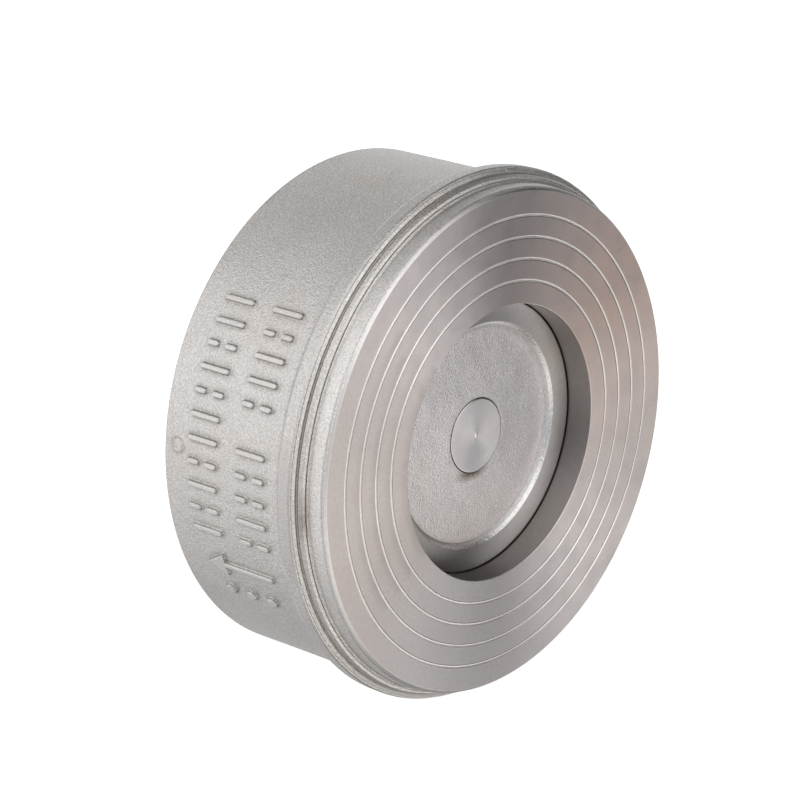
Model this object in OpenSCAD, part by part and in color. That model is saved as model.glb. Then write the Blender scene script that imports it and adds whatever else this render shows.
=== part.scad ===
// Spring-loaded lift check valve, wafer pattern, for clamping between two pipe flanges.
// The flow axis is Y: inlet face at y = 0, outlet face at y = face_to_face. Z is up. Millimetres.

/* [Body] */
// Length between the inlet and outlet faces
face_to_face = 46; // [45.5:0.5:48]
// Diameter of the bead round the rim
bead_d = 117.8; // [116.5:0.1:119]
// Diameter of the cast barrel
barrel_d = 112.6; // [112:0.1:114]
// Outer diameter of the turned inlet face, over its chamfer
face_d = 110; // [109:0.5:111]
// Inlet bore
inlet_bore_d = 61; // [58:0.5:62]
// Depth of the seat behind the inlet face
seat_depth = 6.65; // [6.5:0.05:7]
// Chamber bore round the disc
chamber_d = 88; // [86:0.5:89]
// Outlet bore that holds the guide bracket
outlet_bore_d = 92; // [91.5:0.1:93]

/* [Sealing grooves] */
// Diameter of the innermost groove in the inlet face
inlet_groove_d = 71.2; // [70:0.2:74]
// Radial pitch of the grooves in the inlet face
inlet_groove_pitch = 4.7; // [4:0.1:4.8]
// Number of grooves in the inlet face
inlet_grooves = 4; // [2:1:4]
// Number of grooves in the outlet face
outlet_grooves = 2; // [1:1:3]
// Width of each groove
groove_w = 0.6; // [0.4:0.1:0.8]
// Depth of each groove
groove_depth = 0.35; // [0.2:0.05:0.5]

/* [Disc] */
// Outer diameter of the disc
disc_d = 69; // [68:0.5:71]
// Thickness of the disc at its seat band
disc_t = 4.85; // [4.6:0.05:5.2]
// Diameter of the rough recess, at the seat band
recess_d = 50.6; // [46:0.2:52]
// Depth of the rough recess
recess_depth = 1.35; // [1:0.05:1.5]
// Rise of the recess floor from its edge to its middle
recess_crown = 0.55; // [0:0.05:0.6]
// Lift of the disc from closed to fully open
lift = 10; // [8:0.5:10]

/* [Stem] */
// Diameter of the guide stem
stem_d = 8; // [8:0.1:8.2]
// Diameter of the stem's head
stem_head_d = 16.6; // [15:0.2:18]
// Height of the head above the middle of the recess
stem_head_stand = 0.15; // [0.1:0.05:0.3]

/* [Spring] */
// Wire diameter
wire_d = 1.5; // [1.2:0.1:1.5]
// Mean coil diameter
coil_d = 23; // [22.8:0.1:23.2]
// Number of turns with the two closed ends
coil_turns = 5.5; // [4.5:0.5:5.5]

/* [Guide bracket] */
// Number of arms
bracket_arms = 4; // [3:1:5]
// Width of each arm
arm_w = 6; // [5:0.5:8]
// Diameter of the hub
hub_d = 20; // [19.5:0.1:20]

/* [Foundry marks] */
// Height of the raised marks above the barrel
mark_h = 0.6; // [0.4:0.1:1]
// Width of the raised strokes
stroke_w = 1.4; // [1:0.1:1.8]

/* [Hidden] */
$fn = 96;

// Clearances, all on the radius
run_gap = 0.04;
turn_gap = 0.1;
fit_gap = 0.05;
over = 1;

bead_r = bead_d / 2;
barrel_r = barrel_d / 2;
face_r = face_d / 2;
bore_r = inlet_bore_d / 2;
chamber_r = chamber_d / 2;
outlet_r = outlet_bore_d / 2;
disc_r = disc_d / 2;
stem_r = stem_d / 2;
head_r = stem_head_d / 2;
hub_r = hub_d / 2;
coil_r = coil_d / 2;

// Stations along the flow axis, from the inlet face
recess_floor = seat_depth + recess_depth;
recess_middle = recess_floor - recess_crown;
head_front = recess_middle - stem_head_stand;
head_back = recess_floor + 2;
disc_back = seat_depth + disc_t;
boss_r = 11.1;
boss_back = disc_back + 0.7;
washer_t = 1.6;
washer_r = 8;
lock_t = 2;
lock_r = 7.2;
nut_t = 4;
nut_front = boss_back + washer_t + lock_t;
bush_front = nut_front + nut_t + lift;
bush_flange_t = 1;
bush_flange_r = 8.5;
bush_r = 6;
hub_front = bush_front + bush_flange_t;
hub_back = face_to_face - 4;
stem_back = hub_back - 4.5;
cup_t = 1;
cup_lip = 1.5;
cup_r = 14;
cup_wall = 1.3;
spring_front = disc_back + cup_t;
spring_back = hub_front + 1.2;
collar_front = spring_back + cup_t;
ring_shoulder = face_to_face - 12;
ring_t = 4.5;
ring_back = ring_shoulder + ring_t;
circlip_t = 3;
circlip_slot = 3.15;
circlip_slot_r = outlet_r + 1.75;

// Local z lies along the flow axis, and local x stays the world's x
module on_axis() {
    rotate([-90, 0, 0]) children();
}

// Ring of revolution about the flow axis, from points of radius and depth
module turned(points) {
    on_axis() rotate_extrude() polygon(points);
}

// Points of an arc, from angle a to angle b in degrees
function arc(centre, r, a, b, steps = 6) =
    [for (i = [0 : steps]) let (t = a + (b - a) * i / steps) centre + r * [cos(t), sin(t)]];

// Points of a row of V grooves cut into a face at the given depth; side is the way into the metal
function grooves(radii, face, side) =
    [for (r = radii, p = [[-0.5 * groove_w * side, 0], [0, side * groove_depth], [0.5 * groove_w * side, 0]])
        [r + p[0], face + p[1]]];

inlet_groove_radii = [for (i = [0 : inlet_grooves - 1]) inlet_groove_d / 2 + i * inlet_groove_pitch];
outlet_land_in = outlet_r + 0.7;
outlet_land_out = barrel_r - 0.6;
outlet_groove_radii = [for (i = [outlet_grooves : -1 : 1])
    outlet_land_in + i * (outlet_land_out - outlet_land_in) / (outlet_grooves + 1)];

// Rim behind the inlet face: chamfer, turned band, small step, narrow groove, cast bead, fillet
bead_front = 7.3;
bead_back = 10;
fillet_r = 3;
fillet_drop = bead_r - barrel_r;
rim_points = concat(
    [[face_r, 0], [face_r + 0.7, 0.7], [face_r + 0.9, 4.2], [face_r + 1.9, 4.8], [face_r + 2.45, 5.8]],
    [[face_r + 2.3, 6.1], [face_r + 2.85, 6.25]],
    [[bead_r, bead_front], [bead_r, bead_back]],
    arc([bead_r - 1.2, bead_back], 1.2, 0, 60, 4),
    arc([barrel_r + fillet_r, bead_back + 3.3], fillet_r, 245, 180, 6));

outlet_points = concat(
    [[barrel_r, face_to_face - 0.6], [outlet_land_out, face_to_face]],
    grooves(outlet_groove_radii, face_to_face, -1),
    [[outlet_land_in, face_to_face], [outlet_r, face_to_face - 0.7]],
    [[outlet_r, ring_back + circlip_slot], [circlip_slot_r, ring_back + circlip_slot]],
    [[circlip_slot_r, ring_back], [outlet_r, ring_back], [outlet_r, ring_shoulder]],
    [[chamber_r, ring_shoulder]]);

// Seat: a raised flat land round the bore, with a relief behind it
relief_floor = seat_depth - 0.85;
corner_r = 3;
seat_points = concat(
    arc([chamber_r - corner_r, relief_floor + corner_r], corner_r, 0, -90, 6),
    [[disc_r - 0.2, relief_floor], [disc_r - 0.7, seat_depth]],
    [[bore_r + 0.2, seat_depth], [bore_r, seat_depth - 0.2], [bore_r, 0.3], [bore_r + 0.3, 0]]);

// Puts a flat outline on the barrel at an angle round it (0 = +X, 90 = up) and extrudes it outward.
// The outline's first axis runs round the barrel and its second along the flow.
module on_barrel(angle) {
    rotate([0, 0, -angle]) rotate([90, 0, 90]) linear_extrude(bead_r) children();
}

// Straight raised stroke with round ends, centred, along the flow axis
module stroke(length) {
    square([stroke_w, length - stroke_w], center = true);
    for (side = [-1, 1])
        translate([0, side * (length - stroke_w) / 2]) circle(d = stroke_w, $fn = 24);
}

// A row of plain tally strokes: 1 is a full stroke, 2 is two short ones, 0 is a space
module tally_row(pattern, depth, first_angle, last_angle, height) {
    step = (last_angle - first_angle) / (len(pattern) - 1);
    for (i = [0 : len(pattern) - 1])
        on_barrel(first_angle + i * step) translate([0, depth]) {
            if (pattern[i] == 1) stroke(height);
            if (pattern[i] == 2)
                for (side = [-1, 1]) translate([0, side * 0.3 * height]) stroke(0.4 * height);
        }
}

// Flow arrow, pointing from the inlet to the outlet
module flow_arrow(tail, tip) {
    head = 5;
    polygon([[-stroke_w / 2, tail], [stroke_w / 2, tail], [stroke_w / 2, tip - head], [head / 2 + 0.4, tip - head],
             [0, tip], [-head / 2 - 0.4, tip - head], [-stroke_w / 2, tip - head]]);
}

// Raised marks of the casting: a flow arrow, tally rows, three pips and a small ring
module foundry_marks() {
    row_from = 141.5;
    row_to = 193;
    row_height = 8.4;
    intersection() {
        difference() {
            cylinder(r = barrel_r + mark_h, h = face_to_face - 1);
            translate([0, 0, -over]) cylinder(r = barrel_r - 1, h = face_to_face + 2 * over);
        }
        union() {
            tally_row([1, 2, 1, 1, 2, 0, 1, 2, 2, 1, 2], 20.5, row_from, row_to, row_height);
            tally_row([1, 1, 2, 1, 2, 1, 1, 2, 1, 2, 1], 34.2, row_from, row_to, row_height);
            on_barrel(201.5) flow_arrow(17.5, 36.5);
            for (depth = [21, 27, 33])
                on_barrel(209) translate([0, depth]) circle(d = 2.6, $fn = 32);
            on_barrel(175) translate([0, 41.6]) difference() {
                circle(d = 4, $fn = 32);
                circle(d = 2.8, $fn = 32);
            }
        }
    }
}

module body() {
    face_points = [for (i = [0 : inlet_grooves - 1]) each grooves([inlet_groove_radii[i]], 0, 1)];
    color("lightgray") union() {
        turned(concat(face_points, rim_points, outlet_points, seat_points));
        on_axis() foundry_marks();
    }
}

module disc() {
    wall = recess_depth * 0.9;
    edge = 0.3;
    color("silver") turned([
        [stem_r + fit_gap, head_back], [head_r + fit_gap, head_back], [head_r + fit_gap, recess_middle],
        [recess_d / 2 - wall, recess_floor], [recess_d / 2 - 0.15, seat_depth + 0.12],
        [recess_d / 2 + 0.15, seat_depth], [disc_r - edge, seat_depth], [disc_r, seat_depth + edge],
        [disc_r, disc_back - 2 * edge], [disc_r - 2 * edge, disc_back], [boss_r, disc_back],
        [boss_r, boss_back], [stem_r + fit_gap, boss_back]]);
}

module stem() {
    edge = 0.3;
    tip = 0.8;
    color("gainsboro") turned([
        [0, head_front], [head_r - edge, head_front], [head_r, head_front + edge], [head_r, head_back],
        [stem_r, head_back], [stem_r, stem_back - tip], [stem_r - tip, stem_back], [0, stem_back]]);
}

module disc_washer() {
    color("silver") turned([
        [stem_r + 0.2, boss_back], [washer_r, boss_back], [washer_r, boss_back + washer_t],
        [stem_r + 0.2, boss_back + washer_t]]);
}

// Split spring washer, flattened by the nut
module lock_washer() {
    front = boss_back + washer_t;
    color("dimgray") difference() {
        turned([
            [stem_r + 0.1, front], [lock_r, front], [lock_r, front + lock_t], [stem_r + 0.1, front + lock_t]]);
        on_axis() translate([5.6, 0, front + lock_t / 2]) rotate([30, 0, 0]) cube([6, 0.8, 3 * lock_t], center = true);
    }
}

// Thin hexagon nut, its corners eased by a cone on the free side
module stem_nut() {
    across_flats = 13;
    corner_r = across_flats / sqrt(3);
    color("silver") on_axis() translate([0, 0, nut_front]) difference() {
        intersection() {
            cylinder(r = corner_r, h = nut_t, $fn = 6);
            cylinder(r1 = corner_r + nut_t * 1.5, r2 = across_flats / 2, h = nut_t * 1.06);
        }
        translate([0, 0, -over]) cylinder(r = stem_r + run_gap, h = nut_t + 2 * over);
    }
}

// Cup ring for one end of the spring: flat floor at depth back, lip towards the spring
module spring_cup(hole_r, floor_outer, floor_inner, lip_end) {
    turned([
        [hole_r, floor_outer], [cup_r, floor_outer], [cup_r, lip_end], [cup_r - cup_wall, lip_end],
        [cup_r - cup_wall, floor_inner], [hole_r, floor_inner]]);
}

module spring_follower() {
    color("darkgray") spring_cup(boss_r + turn_gap, disc_back, spring_front, spring_front + cup_lip);
}

module spring_seat() {
    color("darkgray") spring_cup(hub_r + turn_gap, collar_front, spring_back, spring_back - cup_lip);
}

// Height of the wire's centre after t turns: closed end turns, even pitch between them
end_pitch = 1.06 * wire_d;
end_inset = 0.25 * wire_d;
spring_length = spring_back - spring_front;
open_rise = spring_length - 2 * end_inset - 2 * end_pitch;
function coil_height(t) =
    t < 1 ? end_inset + end_pitch * t
    : t > coil_turns - 1 ? spring_length - end_inset - end_pitch * (coil_turns - t)
    : end_inset + end_pitch + open_rise * (t - 1) / (coil_turns - 2);

// Compression spring with closed and ground ends
module spring() {
    sides = 8;
    per_turn = 24;
    rings = coil_turns * per_turn;
    points = [for (i = [0 : rings], j = [0 : sides - 1])
        let (a = 360 * i / per_turn, b = 360 * j / sides, r = coil_r + wire_d / 2 * cos(b))
        [r * cos(a), r * sin(a), coil_height(i / per_turn) + wire_d / 2 * sin(b)]];
    tube_faces = [for (i = [0 : rings - 1], j = [0 : sides - 1])
        let (k = (j + 1) % sides, a = i * sides, b = a + sides)
        [a + j, b + j, b + k, a + k]];
    cap_faces = [[for (j = [0 : sides - 1]) j], [for (j = [sides - 1 : -1 : 0]) rings * sides + j]];
    color("gray") on_axis() translate([0, 0, spring_front]) intersection() {
        polyhedron(points = points, faces = concat(tube_faces, cap_faces));
        cylinder(r = coil_r + wire_d, h = spring_length);
    }
}

// Spider: outer ring on the shoulder, arms, collar for the spring and long hub for the bush
module guide_bracket() {
    ring_out = outlet_r - fit_gap;
    ring_in = chamber_r - 2.5;
    color("darkgray") difference() {
        union() {
            turned([[ring_in, ring_shoulder], [ring_out, ring_shoulder], [ring_out, ring_back], [ring_in, ring_back]]);
            turned([
                [bush_r - over, hub_front], [hub_r, hub_front], [hub_r, collar_front], [cup_r, collar_front],
                [cup_r, collar_front + 2.5], [hub_r + 0.5, hub_back - 3], [hub_r - 1, hub_back],
                [bush_r - over, hub_back]]);
            for (i = [0 : bracket_arms - 1])
                rotate([0, 45 + 360 * i / bracket_arms, 0]) translate([0, 0, -arm_w / 2])
                    linear_extrude(arm_w) polygon([
                        [hub_r - 1, collar_front + 0.5], [ring_in + 1, ring_shoulder + 0.5],
                        [ring_in + 1, ring_back], [ring_in - 5, ring_back], [hub_r - 1, hub_back - 1.5]]);
        }
        on_axis() translate([0, 0, hub_front - over])
            cylinder(r = bush_r, h = hub_back - hub_front + 2 * over);
    }
}

module guide_bush() {
    bore = stem_r + run_gap;
    color("beige") turned([
        [bore, bush_front + 0.3], [bore + 0.3, bush_front], [bush_flange_r, bush_front],
        [bush_flange_r, hub_front], [bush_r, hub_front], [bush_r, hub_back], [bore + 0.3, hub_back],
        [bore, hub_back - 0.3]]);
}

// Internal circlip: widest opposite its opening, with a plier hole in each lug
module retaining_ring() {
    out_r = circlip_slot_r - fit_gap;
    in_r = out_r - 5;
    offset_x = 1.4;
    lug_at = 6.5;
    lug_r = 42.6;
    color("dimgray") on_axis() translate([0, 0, ring_back]) linear_extrude(circlip_t) rotate(180) difference() {
        union() {
            difference() {
                circle(r = out_r);
                translate([offset_x, 0]) circle(r = in_r);
            }
            for (side = [-1, 1]) rotate(side * lug_at) translate([lug_r, 0]) circle(r = 3.4, $fn = 48);
        }
        for (side = [-1, 1]) rotate(side * lug_at) translate([lug_r, 0]) circle(r = 1.75, $fn = 32);
        polygon([[0, 0], 60 * [cos(1.6), sin(1.6)], 60 * [cos(1.6), -sin(1.6)]]);
    }
}

body();
disc();
stem();
disc_washer();
lock_washer();
stem_nut();
spring_follower();
spring();
spring_seat();
guide_bracket();
guide_bush();
retaining_ring();
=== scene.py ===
import math

import bmesh
import bpy
import numpy as np
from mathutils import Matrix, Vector


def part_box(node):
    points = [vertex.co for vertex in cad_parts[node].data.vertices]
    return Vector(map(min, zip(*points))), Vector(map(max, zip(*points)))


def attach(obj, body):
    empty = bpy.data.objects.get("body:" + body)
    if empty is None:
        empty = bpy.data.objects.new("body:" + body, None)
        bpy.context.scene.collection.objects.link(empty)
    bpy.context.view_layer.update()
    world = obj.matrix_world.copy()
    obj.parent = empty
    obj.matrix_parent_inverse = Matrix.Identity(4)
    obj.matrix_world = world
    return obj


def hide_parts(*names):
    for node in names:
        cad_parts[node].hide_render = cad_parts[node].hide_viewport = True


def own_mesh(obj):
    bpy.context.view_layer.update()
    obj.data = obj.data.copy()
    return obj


# Visible meshes, finishes, studio and camera of a wafer check valve. +Y is the flow and +Z is up.
# Sizes are in millimetres unless a comment says otherwise, times MM where Blender wants metres.
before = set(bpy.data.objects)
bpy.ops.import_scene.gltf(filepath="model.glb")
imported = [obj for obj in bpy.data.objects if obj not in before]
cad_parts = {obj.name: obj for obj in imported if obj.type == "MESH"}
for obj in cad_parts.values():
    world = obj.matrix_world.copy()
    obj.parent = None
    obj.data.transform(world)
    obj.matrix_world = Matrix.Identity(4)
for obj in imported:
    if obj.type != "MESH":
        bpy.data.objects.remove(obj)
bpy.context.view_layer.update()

MM = 0.001


def size_of(node):
    """Lowest and highest corner of a CAD node in millimetres, as (x, y, z) arrays."""
    low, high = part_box(node)
    return np.array(low) / MM, np.array(high) / MM


# ---------------------------------------------------------------- sizes, in millimetres

body_low, body_high = size_of("body")
FACE_TO_FACE = body_high[1] - body_low[1]
BEAD_R = 58.9
BARREL_R = 56.3
FACE_R = 55.0
BORE_R = 30.5
CHAMBER_R = 44.0
OUTLET_R = size_of("guide_bracket")[1][0] + 0.05
SEAT_Y = size_of("disc")[0][1]
GROOVE_RADII = [35.6 + 4.7 * i for i in range(4)]
OUTLET_GROOVE_RADII = [49.7, 52.7]
MARK_H = 0.75  # height of the raised foundry marks
MARKS_FROM = 12.5  # depth behind the inlet face at which the marks' part of the barrel starts
LEDGE_FROM_HUB = 8.0  # from the back of the bracket's hub forward to the ledge that its ring rests on


# ---------------------------------------------------------------- mesh helpers

def rounded(corners, steps=4):
    """Outline with its corners rounded. A corner is (radius, depth, round, material) in millimetres;
    the material is that of the stretch that follows the corner."""
    out = []
    count = len(corners)
    for i, (r, y, radius, mat) in enumerate(corners):
        here = np.array((r, y), float)
        before = np.array(corners[i - 1][:2], float)
        after = np.array(corners[(i + 1) % count][:2], float)
        d_in, d_out = here - before, after - here
        l_in, l_out = np.linalg.norm(d_in), np.linalg.norm(d_out)
        if radius <= 0 or l_in < 1e-9 or l_out < 1e-9:
            out.append((r, y, mat))
            continue
        d_in, d_out = d_in / l_in, d_out / l_out
        turn = math.acos(max(-1.0, min(1.0, float(d_in @ d_out))))
        if turn < 0.02:
            out.append((r, y, mat))
            continue
        cut = min(radius * math.tan(turn / 2), 0.45 * l_in, 0.45 * l_out)
        start, end = here - d_in * cut, here + d_out * cut
        for k in range(steps + 1):
            t = k / steps
            p = (1 - t) ** 2 * start + 2 * t * (1 - t) * here + t ** 2 * end
            out.append((p[0], p[1], mat))
    return out


def split_long(outline, longest):
    """Outline with extra points, so that no stretch is longer than the given length."""
    out = []
    count = len(outline)
    for i, (r, y, mat) in enumerate(outline):
        r2, y2, _ = outline[(i + 1) % count]
        parts = max(1, math.ceil(math.hypot(r2 - r, y2 - y) / longest))
        for k in range(parts):
            t = k / parts
            out.append((r + (r2 - r) * t, y + (y2 - y) * t, mat))
    return out


def make_mesh(name, verts, faces, face_mats, materials):
    """A smooth-shaded object from points in metres, with a material number for each face if given."""
    mesh = bpy.data.meshes.new(name)
    mesh.from_pydata([tuple(v) for v in verts], [], faces)
    mesh.validate()
    mesh.update()
    obj = bpy.data.objects.new(name, mesh)
    bpy.context.scene.collection.objects.link(obj)
    for material in materials:
        mesh.materials.append(material)
    if face_mats is not None and len(face_mats) == len(mesh.polygons):
        mesh.polygons.foreach_set("material_index", face_mats)
    mesh.polygons.foreach_set("use_smooth", [True] * len(mesh.polygons))
    return obj


def keep_flats_flat(obj):
    """Shades big faces flat up to their rounded edges."""
    modifier = obj.modifiers.new("flats", "WEIGHTED_NORMAL")
    modifier.mode = "FACE_AREA_WITH_ANGLE"
    modifier.weight = 80
    return obj


def lathe(name, outline, materials, angles, lift=None):
    """Solid of revolution about the Y axis from a closed outline of (radius, depth, material), at a number
    of even angles or at given ones in radians. lift(angle, radius, depth) is added to the radius."""
    if isinstance(angles, int):
        angles = np.arange(angles) * 2 * math.pi / angles
    n_a, n_p = len(angles), len(outline)
    radius = np.array([p[0] for p in outline])
    depth = np.array([p[1] for p in outline])
    A, R = np.meshgrid(angles, radius, indexing="ij")
    Y = np.broadcast_to(depth, A.shape).copy()
    if lift is not None:
        R = R + lift(A, R, Y)
    verts = np.stack([R * np.cos(A), Y, R * np.sin(A)], -1).reshape(-1, 3) * MM
    index = np.arange(n_a * n_p).reshape(n_a, n_p)
    for j in range(n_p):
        if radius[j] < 1e-6:
            index[:, j] = index[0, j]
    nxt = np.roll(index, -1, axis=0)
    faces, mats = [], []
    for j in range(n_p):
        k = (j + 1) % n_p
        if radius[j] < 1e-6 and radius[k] < 1e-6:
            continue
        for i in range(n_a):
            quad = (int(index[i, j]), int(index[i, k]), int(nxt[i, k]), int(nxt[i, j]))
            face = tuple(dict.fromkeys(quad))
            faces.append(face)
            mats.append(outline[j][2])
    used = sorted({v for f in faces for v in f})
    remap = {v: i for i, v in enumerate(used)}
    faces = [tuple(remap[v] for v in f) for f in faces]
    return make_mesh(name, verts[used], faces, mats, materials)


def sweep_faces(rings, sides, closed=False):
    """Faces between the rings of a swept section; a sweep that isn't closed gets a cap at each end."""
    faces = []
    for i in range(rings if closed else rings - 1):
        m = (i + 1) % rings
        for j in range(sides):
            k = (j + 1) % sides
            faces.append((i * sides + j, i * sides + k, m * sides + k, m * sides + j))
    if not closed:
        last = (rings - 1) * sides
        faces += [tuple(range(sides)), tuple(last + j for j in reversed(range(sides)))]
    return faces


def arc(cr, cy, radius, start, end, steps, mat):
    """Points of an arc about (cr, cy), angles in degrees, as corners that need no rounding."""
    out = []
    for k in range(steps + 1):
        a = math.radians(start + (end - start) * k / steps)
        out.append((cr + radius * math.cos(a), cy + radius * math.sin(a), 0, mat))
    return out


def outward(obj):
    """Turns every face of a closed mesh outward."""
    bm = bmesh.new()
    bm.from_mesh(obj.data)
    bmesh.ops.recalc_face_normals(bm, faces=bm.faces)
    bm.to_mesh(obj.data)
    bm.free()
    return obj


def turned_piece(name, corners, longest, materials, angles):
    """A finished solid of revolution from its corners; no stretch of its outline is longer than given."""
    return keep_flats_flat(outward(lathe(name, split_long(rounded(corners), longest), materials, angles)))


def ease_edges(obj, width, sharpest):
    """Small bevels of a width in millimetres on the edges that turn by more than an angle in degrees."""
    modifier = obj.modifiers.new("edges", "BEVEL")
    modifier.limit_method = "ANGLE"
    modifier.angle_limit = math.radians(sharpest)
    modifier.width = width * MM
    modifier.segments = 2


def placed(obj, body, node):
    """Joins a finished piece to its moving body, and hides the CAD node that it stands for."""
    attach(obj, body)
    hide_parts(node)


def smooth_noise(seed, waves, shortest, longest):
    """A fixed, smooth bumpy function of three coordinates in millimetres, from -1 to 1 or so."""
    rng = np.random.default_rng(seed)
    heading = rng.normal(size=(waves, 3))
    heading /= np.linalg.norm(heading, axis=1)[:, None]
    length = np.exp(rng.uniform(math.log(shortest), math.log(longest), waves))
    phase = rng.uniform(0, 2 * math.pi, waves)
    k = heading * (2 * math.pi / length)[:, None]

    def at(x, y, z):
        total = np.zeros(np.shape(x))
        for (kx, ky, kz), p, size in zip(k, phase, length):
            total += np.sin(kx * x + ky * y + kz * z + p) * (size / longest) ** 0.5
        return total / math.sqrt(waves)
    return at


# ---------------------------------------------------------------- materials

class Nodes:
    """Short ways to add nodes to one material."""

    def __init__(self, tree):
        self.tree = tree

    def add(self, kind, inputs=None, **settings):
        node = self.tree.nodes.new(kind)
        for key, value in settings.items():
            setattr(node, key, value)
        for key, value in (inputs or {}).items():
            self.put(value, node.inputs[key])
        return node

    def put(self, value, socket):
        if isinstance(value, bpy.types.NodeSocket):
            self.tree.links.new(value, socket)
        elif value is not None:
            socket.default_value = value

    def math(self, operation, a, b=None, clamp=False):
        node = self.add("ShaderNodeMath", {0: a, 1: b}, operation=operation)
        node.use_clamp = clamp
        return node.outputs[0]

    def vector(self, operation, a, b=None):
        node = self.add("ShaderNodeVectorMath", {0: a, 1: b}, operation=operation)
        return node.outputs["Value" if operation in ("LENGTH", "DOT_PRODUCT") else "Vector"]

    def place(self):
        """Place on the object, in millimetres."""
        where = self.add("ShaderNodeTexCoord").outputs["Object"]
        scaled = self.add("ShaderNodeVectorMath", {0: where}, operation="SCALE")
        scaled.inputs["Scale"].default_value = 1 / MM
        return scaled.outputs["Vector"]

    def depth(self, place):
        """Depth behind the inlet face in millimetres."""
        return self.add("ShaderNodeSeparateXYZ", {0: place}).outputs["Y"]

    def axis_distance(self, place):
        """Distance from the flow axis in millimetres."""
        return self.vector("LENGTH", self.vector("MULTIPLY", place, (1.0, 0.0, 1.0)))

    def near(self, place, point, reach):
        """1 at a point of the object, falling to 0 at the reach along X, Y and Z, in millimetres."""
        apart = self.vector("DIVIDE", self.vector("SUBTRACT", place, point), reach)
        return self.span(self.vector("LENGTH", apart), 0.15, 1.0, 1.0, 0.0)

    def crevice(self, reach_mm):
        """1 in the open and towards 0 deep in a corner; the materials darken their colour by it as painted
        shade.
        """
        node = self.add("ShaderNodeAmbientOcclusion", {"Distance": reach_mm * MM}, samples=6)
        return node.outputs["AO"]

    def noise(self, place, size, detail, rough, stretch=None):
        """Noise whose features are about size millimetres across."""
        if stretch is not None:
            place = self.vector("MULTIPLY", place, stretch)
        node = self.add("ShaderNodeTexNoise",
                        {"Vector": place, "Scale": 1 / size, "Detail": detail, "Roughness": rough})
        return node.outputs["Fac"]

    def rings(self, distance, pitch):
        """Noise along one number only, such as the distance from an axis."""
        node = self.add("ShaderNodeTexNoise",
                        {"W": self.math("DIVIDE", distance, pitch), "Scale": 1.0, "Detail": 2.0},
                        noise_dimensions="1D")
        return node.outputs["Fac"]

    def span(self, value, low, high, to_low=0.0, to_high=1.0):
        """The value moved from one range to another, and held at the ends."""
        node = self.add("ShaderNodeMapRange", {
            "Value": value, "From Min": low, "From Max": high, "To Min": to_low, "To Max": to_high})
        return node.outputs["Result"]

    def mix(self, share, a, b):
        """Colour a, with a share of colour b."""
        node = self.add("ShaderNodeMix", data_type="RGBA")
        self.put(share, node.inputs[0])
        self.put(a, node.inputs[6])
        self.put(b, node.inputs[7])
        return node.outputs[2]

    def bump(self, height, distance_mm):
        node = self.add("ShaderNodeBump", {"Height": height, "Strength": 1.0, "Distance": distance_mm * MM})
        return node.outputs["Normal"]


def new_material(name):
    """A material, its shader and the means to add nodes to it."""
    material = bpy.data.materials.new(name)
    material.use_nodes = True
    tree = material.node_tree
    return material, tree.nodes["Principled BSDF"], Nodes(tree)


def rgb(r, g, b):
    return (r, g, b, 1.0)


def shade(tone, red, green=None, blue=None):
    """Colour of a tone times a factor for each channel, or times the first one for all three."""
    factors = (red, red if green is None else green, red if blue is None else blue)
    return rgb(*(channel * factor for channel, factor in zip(tone, factors)))


def capped(colour):
    """The colour with no channel above 1."""
    return tuple(min(1.0, channel) for channel in colour)


def finish_metal(nodes, shader, colour, rough, uneven, height, depth):
    """Joins the colour, an uneven roughness and a bump of a depth in millimetres to a metal's shader."""
    nodes.put(colour, shader.inputs["Base Color"])
    shader.inputs["Metallic"].default_value = 1.0
    nodes.put(nodes.math("ADD", uneven, rough, clamp=True), shader.inputs["Roughness"])
    nodes.put(nodes.bump(height, depth), shader.inputs["Normal"])


def shade_and_wear_marks(nodes, place, colour, tone, foot, top, behind):
    """The colour with painted shade on the sides of marks raised from one radius to another, from a depth
    on, and brighter tops that are partly wear and partly painted highlight."""
    out = nodes.axis_distance(place)
    there = nodes.span(nodes.depth(place), behind, behind + 1.0)
    side = nodes.math("MULTIPLY", nodes.span(out, foot, foot + 0.12),
                      nodes.span(out, top - 0.25, top - 0.1, 1.0, 0.0))
    # painted shade: the sloping sides of the marks are darker
    colour = nodes.mix(nodes.math("MULTIPLY", there, nodes.math("MULTIPLY", side, 0.85)), colour,
                       shade(tone, 0.42, 0.41, 0.40))
    # brighter tops of the marks: partly wear, partly painted highlight
    return nodes.mix(nodes.math("MULTIPLY", there, nodes.span(out, top - 0.2, top, 0.0, 0.6)), colour,
                     capped(shade(tone, 1.16)))


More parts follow.
